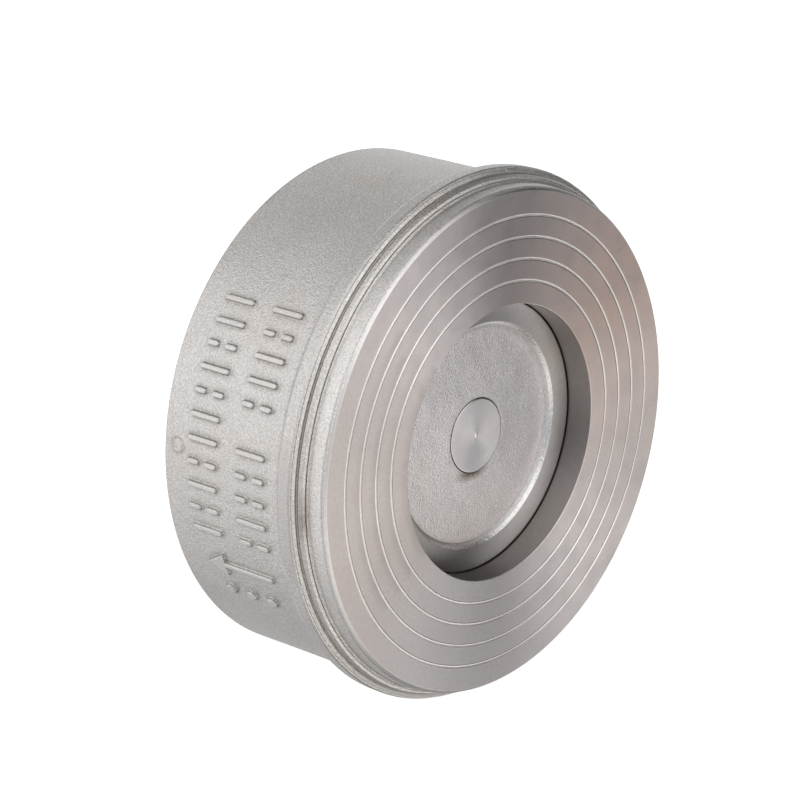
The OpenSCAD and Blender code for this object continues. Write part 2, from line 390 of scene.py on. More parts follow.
def cast_steel(name, tone, rough, grain=0.42, depth=0.20, contrast=1.0, rust=None, shaded_worn_marks=None, ground=None):
    """Blasted stainless casting: bright grain, soft mottling and crevices darkened with painted shade. Where
    asked for, it has a brown trace, as (point, reach, strength), raised marks with painted shade on their
    sides and brighter tops, partly wear and partly painted highlight, as (foot radius, top radius, first
    depth), and a patch that was ground smooth, as (point, reach)."""
    material, shader, n = new_material(name)
    place = n.place()
    fine = n.noise(place, grain, 2.0, 0.6)
    coarse = n.noise(place, grain * 3.2, 2.0, 0.5)
    cloud = n.noise(place, 14.0, 4.0, 0.6)
    warm = n.noise(place, 27.0, 3.0, 0.5)
    open_air = n.crevice(1.3)
    colour = n.mix(n.span(cloud, 0.35, 0.65), rgb(*tone), shade(tone, 1.08))
    colour = n.mix(n.span(warm, 0.48, 0.70, 0.0, 0.6), colour, shade(tone, 1.00, 0.95, 0.91))
    colour = n.mix(n.span(fine, 0.34, 0.52, 0.55 * contrast, 0.0), colour, shade(tone, 0.66, 0.65, 0.64))
    colour = n.mix(n.span(fine, 0.52, 0.66, 0.0, 0.60 * contrast), colour, capped(shade(tone, 1.38)))
    # painted shade: the colour darkens towards brown in crevices and at the feet of walls and marks
    colour = n.mix(n.span(open_air, 0.58, 0.96, 0.95, 0.0), colour, shade(tone, 0.36, 0.33, 0.29))
    if ground is not None:
        colour = n.mix(n.span(n.near(place, *ground), 0.0, 0.3, 0.0, 0.8), colour, shade(tone, 0.88))
    if rust is not None:
        point, reach, strength = rust
        share = n.math("MULTIPLY", n.near(place, point, reach),
                       n.span(coarse, 0.36, 0.60, 0.75 * strength, 1.05 * strength))
        colour = n.mix(share, colour, shade(tone, 0.34, 0.26, 0.21))
    # marks with painted shade on their sides, and tops that are partly wear and partly painted highlight
    if shaded_worn_marks is not None:
        colour = shade_and_wear_marks(n, place, colour, tone, *shaded_worn_marks)
    uneven = n.math("ADD", n.span(cloud, 0.3, 0.7, -0.03, 0.03), n.span(fine, 0.3, 0.7, 0.06, -0.06))
    height = n.math("ADD", fine, n.math("MULTIPLY", coarse, 0.35))
    finish_metal(n, shader, colour, rough, uneven, height, depth)
    return material


def turned_steel(name, tone, rough, lines=0.22, depth=0.006, anisotropy=0.6, stain=0.35, crevice_shade=0.65,
                 along=False, painted_warm_reflection=None):
    """Lathe-turned stainless: fine tool lines round the axis, a stretched sheen and handling marks, and
    painted shade that darkens its grooves and corners by a given share. The lines follow one another along
    the axis, or else outward. Where asked for, it has a painted warm reflection, a rosy tint in its colour,
    as (point, reach)."""
    material, shader, n = new_material(name)
    place = n.place()
    number = n.depth(place) if along else n.axis_distance(place)
    tool = n.rings(number, lines)
    band = n.rings(number, 2.4)
    cloud = n.noise(place, 17.0, 4.0, 0.6)
    mottle = n.noise(place, 0.9, 4.0, 0.75)
    smear = n.noise(place, 6.0, 5.0, 0.65)
    open_air = n.crevice(1.4)
    colour = n.mix(n.span(cloud, 0.38, 0.66), shade(tone, 0.97, 0.955, 0.95), shade(tone, 1.03, 1.03, 1.035))
    colour = n.mix(n.span(mottle, 0.40, 0.62, 0.0, 0.9), colour, shade(tone, 0.92, 0.87, 0.86))
    colour = n.mix(n.span(band, 0.40, 0.60, 0.0, 0.30), colour, shade(tone, 0.94, 0.925, 0.92))
    colour = n.mix(n.span(smear, 0.54, 0.76, 0.0, stain), colour, shade(tone, 0.92, 0.83, 0.76))
    # painted reflection: a warm rosy tint laid into the colour near a point
    if painted_warm_reflection is not None:
        point, reach = painted_warm_reflection
        share = n.math("MULTIPLY", n.near(place, point, reach), n.span(smear, 0.35, 0.60, 0.75, 1.0))
        colour = n.mix(share, colour, shade(tone, 0.92, 0.78, 0.72))
    # painted shade: the colour darkens in grooves and corners, by the share given as an argument
    colour = n.mix(n.span(open_air, 0.25, 0.85, crevice_shade, 0.0), colour, shade(tone, 0.36, 0.33, 0.30))
    uneven = n.math("ADD", n.span(smear, 0.3, 0.7, -0.03, 0.05), n.span(mottle, 0.3, 0.7, -0.03, 0.04))
    height = n.math("ADD", tool, n.math("MULTIPLY", band, 0.6))
    height = n.math("ADD", height, n.math("MULTIPLY", mottle, 0.5))
    finish_metal(n, shader, colour, rough, uneven, height, depth)
    shader.inputs["Anisotropic"].default_value = anisotropy
    shader.inputs["Anisotropic Rotation"].default_value = 0.25
    tangent = n.add("ShaderNodeTangent", direction_type="RADIAL", axis="Y")
    n.put(tangent.outputs["Tangent"], shader.inputs["Tangent"])
    return material


def plain_plastic(name, tone):
    """Off-white bearing plastic with faint moulding marks and grey rub marks."""
    material, shader, n = new_material(name)
    place = n.place()
    cloud = n.noise(place, 3.0, 4.0, 0.6)
    fine = n.noise(place, 0.3, 3.0, 0.6)
    colour = n.mix(n.span(cloud, 0.45, 0.75, 0.0, 0.5), rgb(*tone), shade(tone, 0.72, 0.71, 0.70))
    # painted shade: the colour darkens to near black in corners
    colour = n.mix(n.span(n.crevice(1.0), 0.4, 0.95, 0.6, 0.0), colour, rgb(0.16, 0.15, 0.13))
    n.put(colour, shader.inputs["Base Color"])
    n.put(n.span(fine, 0.3, 0.7, 0.38, 0.52), shader.inputs["Roughness"])
    n.put(n.bump(fine, 0.01), shader.inputs["Normal"])
    return material


def bright_steel(name, tone, rough):
    """Rolled or drawn stainless of the fasteners and the wire: bright, with fine scratches and some grey."""
    material, shader, n = new_material(name)
    place = n.place()
    hair = n.noise(place, 0.10, 4.0, 0.6, stretch=(1.0, 0.12, 1.0))
    cloud = n.noise(place, 2.5, 4.0, 0.6)
    colour = n.mix(n.span(cloud, 0.4, 0.7, 0.0, 0.6), rgb(*tone), shade(tone, 0.78, 0.77, 0.76))
    # painted shade: the colour darkens in corners and between parts
    colour = n.mix(n.span(n.crevice(0.8), 0.3, 0.95, 0.7, 0.0), colour, shade(tone, 0.25, 0.23, 0.20))
    finish_metal(n, shader, colour, rough, n.span(cloud, 0.3, 0.7, -0.05, 0.10), hair, 0.012)
    return material


CAST = cast_steel("cast_body", (0.73, 0.705, 0.69), 0.40, contrast=0.75,
                  shaded_worn_marks=(BARREL_R + 0.16, BARREL_R + MARK_H - 0.05, MARKS_FROM),
                  rust=((-56.6, 4.9, -2.2), (4.0, 1.4, 7.0), 0.6),
                  ground=((-BEAD_R, 8.6, -4.0), (5.0, 2.2, 21.0)))
RIM = cast_steel("cast_rim", (0.86, 0.835, 0.82), 0.38, grain=0.36, depth=0.16)
# the turned face carries a painted warm reflection towards its upper right
FACE = turned_steel("turned_face", (0.805, 0.768, 0.762), 0.35, anisotropy=0.9,
                    painted_warm_reflection=((32.0, 0.0, 30.0), (48.0, 60.0, 44.0)))
# painted highlight: groove walls lighter than the face, so that each groove shows a bright line
GROOVE_HIGHLIGHT = turned_steel("groove_painted_highlight", (1.0, 0.99, 0.98), 0.34, depth=0.001, anisotropy=0.0, stain=0.1,
                      crevice_shade=0.6)
# painted shade: a very dark band on the face at each groove's inner lip, for the groove's shadow side
GROOVE_SHADE = turned_steel("groove_painted_shade", (0.20, 0.19, 0.185), 0.40, anisotropy=0.3)
BAND = turned_steel("turned_band", (0.873, 0.862, 0.85), 0.36, along=True, anisotropy=0.5)
BORE = turned_steel("turned_bore", (0.375, 0.358, 0.35), 0.33, along=True, anisotropy=0.6)
CHAMBER = cast_steel("cast_chamber", (0.52, 0.505, 0.485), 0.45)
PLATE = turned_steel("turned_plate", (0.57, 0.56, 0.55), 0.38, anisotropy=0.85)
ROUGH_PLATE = cast_steel("cast_plate", (0.68, 0.66, 0.665), 0.42, grain=0.30, depth=0.10, contrast=0.65,
                         rust=((-1.2, 7.6, -8.1), (6.0, 2.0, 2.3), 1.15))
# painted highlight: the ridge round the disc's recess is lighter than the cast plate beside it
RIDGE_HIGHLIGHT = cast_steel("ridge_painted_highlight", (0.86, 0.85, 0.84), 0.28, grain=0.7, depth=0.09, contrast=0.4)
# painted shade: the relief ring at the disc's seat is dark, for the shade in the gap between disc and seat
JOINT_SHADE = turned_steel("joint_painted_shade", (0.26, 0.24, 0.225), 0.45, along=True, anisotropy=0.2)
STEM_END = turned_steel("turned_stem", (0.86, 0.865, 0.885), 0.38, lines=0.16, anisotropy=0.55, stain=0.5)
STEM_SIDE = turned_steel("ground_stem", (0.62, 0.615, 0.61), 0.20, along=True, lines=0.06, anisotropy=0.4)
BRACKET = cast_steel("cast_bracket", (0.56, 0.545, 0.53), 0.42, grain=0.5, depth=0.12)
CUP = turned_steel("turned_cup", (0.55, 0.545, 0.54), 0.30)
FASTENER = bright_steel("bright_fastener", (0.60, 0.595, 0.585), 0.26)
WIRE = bright_steel("spring_wire", (0.48, 0.475, 0.47), 0.28)
CIRCLIP = bright_steel("dark_circlip", (0.16, 0.155, 0.15), 0.34)
BUSH = plain_plastic("bush_plastic", (0.66, 0.62, 0.53))


# ---------------------------------------------------------------- body

M_CAST, M_FACE, M_GROOVE_HIGHLIGHT, M_BAND, M_BORE, M_CHAMBER, M_GROOVE_SHADE, M_RIM = range(8)
BODY_MATERIALS = [CAST, FACE, GROOVE_HIGHLIGHT, BAND, BORE, CHAMBER, GROOVE_SHADE, RIM]

# Raised marks: places are an angle round the axis in degrees and a depth behind the inlet face.
STROKE = 1.25
MARK_SLOPE = 0.32
FIRST_ANGLE, LAST_ANGLE = 141.5, 193.0
ROW_HEIGHT = 8.4
# Rows of marks by depth: 0 leaves a gap, 1 is a whole bar and 2 is two short bars.
ROWS = {20.5: [1, 2, 1, 1, 2, 0, 1, 2, 2, 1, 2], 34.2: [1, 1, 2, 1, 2, 1, 1, 2, 1, 2, 1]}
ARROW_ANGLE, ARROW_TAIL, ARROW_TIP, ARROW_HEAD = 201.5, 17.5, 36.5, 5.0
PIP_ANGLE, PIP_DEPTHS, PIP_R = 209.0, (21, 27, 33), 1.3
RING_ANGLE, RING_DEPTH, RING_R, RING_STROKE, RING_SHARE = 175.0, 41.6, 1.7, 0.6, 0.25

# The barrel's mesh is close where the marks are: degrees round the axis, and millimetres along it.
CLOSE_FROM, CLOSE_TO, CLOSE_DEGREES, CLOSE_MM, WIDE_DEGREES = 134.0, 216.0, 0.18, 0.18, 1.5

# Sealing grooves: half widths of the lip, the opening and the floor, and the depth. The lip is a dark band
# of painted shade on the face beside each groove, and the groove's walls are lighter as a painted highlight.
LIP_HALF, GROOVE_HALF, GROOVE_FLOOR, GROOVE_DEPTH = 0.45, 0.28, 0.16, 0.2
OUTLET_GROOVE_HALF, OUTLET_GROOVE_DEPTH = 0.3, 0.35

# The stepped rim from the face's chamfer to the bead: radius beyond the face's, depth, rounding, material.
RIM_STEPS = [
    (0.42, 0.42, 0.05, M_RIM), (0.66, 0.75, 0.05, M_RIM), (0.56, 0.92, 0.04, M_RIM),
    (0.72, 1.15, 0.08, M_RIM), (0.9, 4.1, 0.4, M_CAST), (1.4, 4.45, 0.10, M_CAST),
    (1.3, 4.65, 0.05, M_CAST), (1.55, 4.65, 0.06, M_CAST), (2.05, 4.9, 0.25, M_CAST),
    (2.45, 5.8, 0.15, M_CAST), (2.2, 6.1, 0.08, M_CAST), (2.45, 6.35, 0.08, M_CAST),
    (2.85, 6.35, 0.20, M_CAST), (3.4, 6.75, 0.10, M_CAST), (3.4, 6.9, 0.03, M_CAST),
    (3.65, 6.95, 0.1, M_CAST)]
BEAD_FRONT, BEAD_BACK, SHOULDER_R, FILLET_R = 7.3, 9.8, 1.2, 2.4
CAST_UNEVEN = 0.035  # bumps of the cast skin

# Inside: the circlip's slot, the chamber's front corner and the seat's land.
SLOT_WIDTH, SLOT_DEPTH = 3.15, 1.75
CHAMBER_ROUND, SEAT_RELIEF, SEAT_OUT = 3, 0.85, 33.8


def to_capsule(u, v, u1, v1, u2, v2, half):
    """Signed distance to a straight stroke with round ends, in millimetres."""
    du, dv = u2 - u1, v2 - v1
    t = np.clip(((u - u1) * du + (v - v1) * dv) / max(du * du + dv * dv, 1e-9), 0, 1)
    return np.hypot(u - u1 - t * du, v - v1 - t * dv) - half


def to_triangle(u, v, corners):
    """Signed distance to a triangle, in millimetres; beyond a corner it is a little too small."""
    middle = np.mean(corners, axis=0)
    worst = None
    for i in range(3):
        a, b = np.array(corners[i]), np.array(corners[(i + 1) % 3])
        normal = np.array([b[1] - a[1], a[0] - b[0]]) / np.linalg.norm(b - a)
        if normal @ (middle - a) > 0:
            normal = -normal
        side = (u - a[0]) * normal[0] + (v - a[1]) * normal[1]
        worst = side if worst is None else np.maximum(worst, side)
    return worst


def side_slope(apart):
    """1 on top of a mark and 0 beside it, from the signed distance to its outline."""
    t = np.clip((MARK_SLOPE / 2 - apart) / MARK_SLOPE, 0, 1)
    return t * t * (3 - 2 * t)


def marks_height(angle, depth):
    """Height of the raised foundry marks at an angle round the barrel and a depth, in millimetres."""
    def along(degrees):
        return (angle - math.radians(degrees)) * BARREL_R

    nearest = np.full(np.shape(angle), 9.0)
    half = STROKE / 2
    whole, short, apart = ROW_HEIGHT / 2 - half, 0.2 * ROW_HEIGHT - half, 0.3 * ROW_HEIGHT
    bars = [[], [(-whole, whole)], [(-apart - short, -apart + short), (apart - short, apart + short)]]
    for row_depth, pattern in ROWS.items():
        step = (LAST_ANGLE - FIRST_ANGLE) / (len(pattern) - 1)
        for i, kind in enumerate(pattern):
            u = along(FIRST_ANGLE + i * step)
            for a, b in bars[kind]:
                nearest = np.minimum(nearest, to_capsule(u, depth - row_depth, 0, a, 0, b, half))
    u = along(ARROW_ANGLE)
    shaft_end = ARROW_TIP - ARROW_HEAD
    nearest = np.minimum(nearest, to_capsule(u, depth, 0, ARROW_TAIL + half, 0, shaft_end, half))
    wing = ARROW_HEAD / 2 + 0.4
    head = [(-wing, shaft_end), (wing, shaft_end), (0, ARROW_TIP)]
    nearest = np.minimum(nearest, to_triangle(u, depth, head))
    u = along(PIP_ANGLE)
    for pip_depth in PIP_DEPTHS:
        nearest = np.minimum(nearest, np.hypot(u, depth - pip_depth) - PIP_R)
    u = along(RING_ANGLE)
    ring = np.abs(np.hypot(u, depth - RING_DEPTH) - RING_R) - RING_STROKE / 2
    return MARK_H * np.maximum(side_slope(nearest), RING_SHARE * side_slope(ring))


def inlet_corners():
    """Inlet face with its grooves, from the bore outward, and the stepped rim up to the bead."""
    corners = [(BORE_R, 0, 0.14, M_FACE)]
    for r in GROOVE_RADII:
        # each groove: a lip band of painted shade, then walls of lighter steel as a painted highlight
        corners += [(r - LIP_HALF, 0, 0, M_GROOVE_SHADE), (r - GROOVE_HALF, 0, 0.05, M_GROOVE_HIGHLIGHT),
                    (r - GROOVE_FLOOR, GROOVE_DEPTH, 0.14, M_GROOVE_HIGHLIGHT),
                    (r + GROOVE_FLOOR, GROOVE_DEPTH, 0.14, M_GROOVE_HIGHLIGHT), (r + GROOVE_HALF, 0, 0.06, M_FACE)]
    corners.append((FACE_R, 0, 0.08, M_BAND))
    corners += [(FACE_R + beyond, y, radius, mat) for beyond, y, radius, mat in RIM_STEPS]
    corners.append((BEAD_R, BEAD_FRONT + 0.1, 0.5, M_CAST))
    return corners


def barrel_corners():
    """Back of the bead, the fillet behind it and the barrel."""
    across = (BARREL_R + FILLET_R) - (BEAD_R - SHOULDER_R)
    turn = math.degrees(math.acos(across / (SHOULDER_R + FILLET_R)))
    fillet_y = BEAD_BACK + (SHOULDER_R + FILLET_R) * math.sin(math.radians(turn))
    corners = arc(BEAD_R - SHOULDER_R, BEAD_BACK, SHOULDER_R, 0, turn, 6, M_CAST)
    corners += arc(BARREL_R + FILLET_R, fillet_y, FILLET_R, 180 + turn, 180, 8, M_CAST)
    corners.append((BARREL_R, FACE_TO_FACE - 0.6, 0.4, M_CAST))
    return corners


def outlet_corners():
    """Outlet face with its grooves, from the rim inward, and the bore with the circlip's slot and ledge."""
    back = FACE_TO_FACE
    corners = [(BARREL_R - 0.6, back, 0.25, M_FACE)]
    for r in reversed(OUTLET_GROOVE_RADII):
        corners += [(r + OUTLET_GROOVE_HALF, back, 0.05, M_GROOVE_HIGHLIGHT),
                    (r, back - OUTLET_GROOVE_DEPTH, 0.12, M_GROOVE_HIGHLIGHT),
                    (r - OUTLET_GROOVE_HALF, back, 0.05, M_FACE)]
    slot_front = size_of("retaining_ring")[0][1]
    slot_back, slot_r = slot_front + SLOT_WIDTH, OUTLET_R + SLOT_DEPTH
    ledge = size_of("guide_bracket")[1][1] - LEDGE_FROM_HUB
    corners += [
        (OUTLET_R + 0.7, back, 0.12, M_BORE), (OUTLET_R, back - 0.7, 0.25, M_BORE),
        (OUTLET_R, slot_back, 0.10, M_BORE), (slot_r, slot_back, 0, M_BORE), (slot_r, slot_front, 0, M_BORE),
        (OUTLET_R, slot_front, 0.10, M_BORE), (OUTLET_R, ledge, 0, M_BORE),
        (CHAMBER_R, ledge, 0.3, M_CHAMBER)]
    return corners


def seat_corners():
    """Front corner of the chamber and the seat, back to the inlet bore."""
    relief = SEAT_Y - SEAT_RELIEF
    corners = arc(CHAMBER_R - CHAMBER_ROUND, relief + CHAMBER_ROUND, CHAMBER_ROUND, 0, -90, 6, M_CHAMBER)
    corners += [
        (SEAT_OUT + 0.5, relief, 0.3, M_FACE), (SEAT_OUT, SEAT_Y, 0.10, M_FACE),
        (BORE_R + 0.3, SEAT_Y, 0.08, M_BORE), (BORE_R, SEAT_Y - 0.3, 0.10, M_BORE)]
    return corners


def body_angles():
    """Close steps where the marks are, wider ones elsewhere, in radians."""
    close = np.arange(CLOSE_FROM, CLOSE_TO, CLOSE_DEGREES)
    wide = np.arange(CLOSE_TO, 360.0 + CLOSE_FROM - WIDE_DEGREES / 2, WIDE_DEGREES)
    return np.radians(np.concatenate([close, wide]))


def make_body():
    corners = inlet_corners() + barrel_corners() + outlet_corners() + seat_corners()
    outline = split_long(rounded(corners), 3.0)
    dense = []
    for i, (r, y, mat) in enumerate(outline):
        dense.append((r, y, mat))
        r2, y2, _ = outline[(i + 1) % len(outline)]
        if mat == M_CAST and y > MARKS_FROM:
            parts = max(1, math.ceil(abs(y2 - y) / CLOSE_MM))
            dense += [(r + (r2 - r) * k / parts, y + (y2 - y) * k / parts, mat) for k in range(1, parts)]
    uneven = smooth_noise(11, 26, 6.0, 40.0)

    def lift(angle, radius, depth):
        on_cast = (radius > BARREL_R - 0.4) & (depth > 4.7) & (depth < FACE_TO_FACE - 0.7)
        bumps = CAST_UNEVEN * uneven(radius * np.cos(angle), depth, radius * np.sin(angle))
        return np.where(on_cast, bumps + marks_height(np.mod(angle, 2 * math.pi), depth), 0.0)

    body = outward(lathe("valve_body", dense, BODY_MATERIALS, body_angles(), lift))
    placed(keep_flats_flat(body), "housing", "body")


# ---------------------------------------------------------------- disc and stem

DISC_R, PLATE_T, BOSS_R, DISC_UNEVEN = 34.5, 4.85, 11.1, 0.03
RECESS_OUT, RECESS_IN, RECESS_Y, RECESS_LIP = 25.3, 24.1, 8.0, 0.7
JOINT_IN, JOINT_OUT, JOINT_DEPTH = 30.3, 31.4, 0.7
POCKET_R, HEAD_R, POCKET_Y = 8.35, 8.3, 10.0
HEAD_Y = size_of("stem")[0][1]
RECESS_MIDDLE = HEAD_Y + 0.15
STEM_R, THREAD_PITCH, THREAD_DEPTH = 4.0, 0.7, 0.28
CENTRE_R, CENTRE_HEIGHT = 0.55, 0.06  # the small point that turning leaves on the stem's head
TOUCH_GAP = 0.02  # left off the nut and off the bush, because they meet at full lift


def make_disc():
    low, high = size_of("disc")
    back, boss = low[1] + PLATE_T, high[1]
    plate, rough, wall, edge, shaded_joint = range(5)
    corners = [
        (STEM_R + 0.05, POCKET_Y, 0, wall), (POCKET_R, POCKET_Y, 0, wall),
        (POCKET_R, RECESS_MIDDLE + 0.14, 0, rough), (POCKET_R + 0.15, RECESS_MIDDLE, 0.06, rough),
        # the recess's ridge takes the lighter material of painted highlight
        (RECESS_IN, RECESS_Y, 0.06, rough), (RECESS_OUT - 0.6, SEAT_Y + RECESS_LIP, 0.06, edge),
        (RECESS_OUT, SEAT_Y, 0.10, plate),
        # the relief ring at the seat takes the dark material of painted shade
        (JOINT_IN, SEAT_Y, 0.12, shaded_joint), (JOINT_IN + 0.12, SEAT_Y + JOINT_DEPTH, 0.05, shaded_joint),
        (JOINT_OUT - 0.2, SEAT_Y + JOINT_DEPTH, 0.05, shaded_joint), (JOINT_OUT, SEAT_Y, 0.1, wall),
        (DISC_R, SEAT_Y, 0.25, wall), (DISC_R, back, 0.5, rough),
        (BOSS_R, back, 0.35, plate), (BOSS_R, boss, 0.2, plate), (STEM_R + 0.05, boss, 0, wall)]
    uneven = smooth_noise(5, 24, 2.5, 12.0)
    outline = split_long(rounded(corners), 0.8)
    disc = lathe("valve_disc", outline, [PLATE, ROUGH_PLATE, BAND, RIDGE_HIGHLIGHT, JOINT_SHADE], 240)
    for vertex in disc.data.vertices:
        x, y, z = (c / MM for c in vertex.co)
        r = math.hypot(x, z)
        inside = min(1.0, max(0.0, r - POCKET_R - 0.3), max(0.0, RECESS_IN - 0.4 - r))
        if y < RECESS_Y + 0.05:
            vertex.co.y += DISC_UNEVEN * inside * MM * float(uneven(x, y, z))
    placed(keep_flats_flat(outward(disc)), "disc", "disc")


def make_stem():
    end = size_of("stem")[1][1]
    head_end, side = 0, 1
    centre_y = HEAD_Y - CENTRE_HEIGHT
    corners = [(0, centre_y, 0, head_end), (CENTRE_R - 0.2, centre_y, 0.1, head_end),
               (CENTRE_R, HEAD_Y, 0.1, head_end), (HEAD_R, HEAD_Y, 0.26, side),
               (HEAD_R, POCKET_Y, 0.1, side), (STEM_R, POCKET_Y, 0.1, side)]
    y, thread_end = size_of("disc_washer")[0][1], size_of("stem_nut")[1][1] + 1.2
    while y < thread_end:
        corners += [(STEM_R, y, 0, side), (STEM_R - THREAD_DEPTH, y + 0.45 * THREAD_PITCH, 0, side),
                    (STEM_R, y + 0.9 * THREAD_PITCH, 0, side)]
        y += THREAD_PITCH
    corners += [(STEM_R, end - 0.8, 0.15, side), (STEM_R - 0.8, end, 0.15, head_end), (0, end, 0, head_end)]
    stem = turned_piece("guide_stem", corners, 2.0, [STEM_END, STEM_SIDE], 128)
    placed(stem, "disc", "stem")


def make_disc_washer():
    low, high = size_of("disc_washer")
    hole, outer = 4.2, high[0]
    corners = [(hole, low[1], 0.1, 0), (outer, low[1], 0.15, 0),
               (outer, high[1], 0.3, 0), (hole, high[1], 0.2, 0)]
    washer = turned_piece("plain_washer", corners, 1.2, [FASTENER], 96)
    placed(washer, "disc", "disc_washer")


def make_lock_washer():
    """A split spring washer: a square section that stops short of a full turn, with slanted ends."""
    low, high = size_of("lock_washer")
    hole, outer = 4.1, high[0]
    corners = [(hole, low[1], 0.15, 0), (outer, low[1], 0.2, 0),
               (outer, high[1], 0.2, 0), (hole, high[1], 0.15, 0)]
    section = [(r, y) for r, y, _ in rounded(corners, 3)]
    gap, slant, steps = 9.0, 7.0, 90
    verts = []
    for i in range(steps + 1):
        for r, y in section:
            lean = slant * ((y - low[1]) / (high[1] - low[1]) - 0.5)
            a = math.radians(90 + gap / 2 + lean + (360 - gap) * i / steps)
            verts.append((r * math.cos(a) * MM, y * MM, r * math.sin(a) * MM))
    washer = make_mesh("split_washer", verts, sweep_faces(steps + 1, len(section)), None, [FASTENER])
    placed(keep_flats_flat(outward(washer)), "disc", "lock_washer")


def make_nut():
    """A thin hexagon nut with rounded-off corners, its flats where the CAD nut has them."""
    low, high = size_of("stem_nut")
    wide_x, wide_z = high[0] - low[0], high[2] - low[2]
    flat_at = 90 if wide_z < wide_x else 0
    half, bore = min(wide_x, wide_z) / 2, STEM_R + 0.04
    crown, steps = half * 0.97, 144
    bottom, top = low[1], high[1] - TOUCH_GAP
    verts = []
    for i in range(steps):
        a = i * 2 * math.pi / steps
        off = math.radians((math.degrees(a) - flat_at + 30) % 60 - 30)
        reach = min(half / math.cos(off), half * 1.135)
        drop = (reach - crown) * math.tan(math.radians(30))
        profile = [(bore, bottom + 0.45), (bore + 0.45, bottom), (crown, bottom), (reach, bottom + drop),
                   (reach, (bottom + top) / 2), (reach, top - drop), (crown, top), (bore + 0.45, top),
                   (bore, top - 0.45)]
        verts += [(r * math.cos(a) * MM, y * MM, r * math.sin(a) * MM) for r, y in profile]
    faces = sweep_faces(steps, len(verts) // steps, closed=True)
    nut = outward(make_mesh("hex_nut", verts, faces, None, [FASTENER]))
    ease_edges(nut, 0.12, 22)
    placed(keep_flats_flat(nut), "disc", "stem_nut")


# ---------------------------------------------------------------- spring and its cups

WIRE_D, COIL_R, TURNS = 1.5, 11.5, 5.5
FOLLOWER_HOLE, SEAT_HOLE, CUP_T, CUP_WALL = 11.2, 10.1, 1.0, 1.3


def make_cup(name, node, hole, base, inner, lip, body):
    """A cup ring: its base from one depth to another, and its wall on to the lip's depth."""
    outer = size_of(node)[1][0]
    wall_in = outer - CUP_WALL
    corners = [(hole, base, 0.2, 0), (outer, base, 0.35, 0), (outer, lip, 0.3, 0), (wall_in, lip, 0.25, 0),
               (wall_in, inner, 0.3, 0), (hole, inner, 0.15, 0)]
    placed(turned_piece(name, corners, 1.2, [CUP], 144), body, node)


def make_cups():
    low, high = size_of("spring_follower")
    make_cup("moving_cup", "spring_follower", FOLLOWER_HOLE, low[1], low[1] + CUP_T, high[1], "follower")
    low, high = size_of("spring_seat")
    make_cup("fixed_cup", "spring_seat", SEAT_HOLE, high[1], high[1] - CUP_T, low[1], "housing")


def make_spring():
    """A wound wire with closed and ground ends."""
    low, high = size_of("spring")
    front, back = low[1], high[1]
    inset = 0.25 * WIRE_D
    steps, sides = 420, 16
    close = 1.06 * WIRE_D
    span = back - front - 2 * inset
    middle = (span - 2 * close) / (TURNS - 2)
    verts = []
    for i in range(steps + 1):
        t = TURNS * i / steps
        rise = close * min(t, 1) + middle * max(0, min(t, TURNS - 1) - 1) + close * max(0, t - TURNS + 1)
        a = 2 * math.pi * t
        for j in range(sides):
            b = 2 * math.pi * j / sides
            r = COIL_R + WIRE_D / 2 * math.cos(b)
            depth = min(max(front + inset + rise + WIRE_D / 2 * math.sin(b), front), back)
            verts.append((r * math.cos(a) * MM, depth * MM, r * math.sin(a) * MM))
    spring = outward(make_mesh("return_spring", verts, sweep_faces(steps + 1, sides), None, [WIRE]))
    placed(spring, "housing", "spring")
    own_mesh(spring)


# ---------------------------------------------------------------- guide bracket, bush and retaining ring

def add_prism(bm, outline, width, angle):
    """A bar across the axis: its outline is (radius, depth) in millimetres, turned to an angle about Y."""
    rings = []
    c, s = math.cos(math.radians(angle)), math.sin(math.radians(angle))
    for side in (-width / 2, width / 2):
        corners = [(r * c + side * s, y, -r * s + side * c) for r, y in outline]
        rings.append([bm.verts.new([value * MM for value in corner]) for corner in corners])
    count = len(outline)
    for j in range(count):
        k = (j + 1) % count
        bm.faces.new((rings[0][j], rings[0][k], rings[1][k], rings[1][j]))
    bm.faces.new(rings[0])
    bm.faces.new(list(reversed(rings[1])))


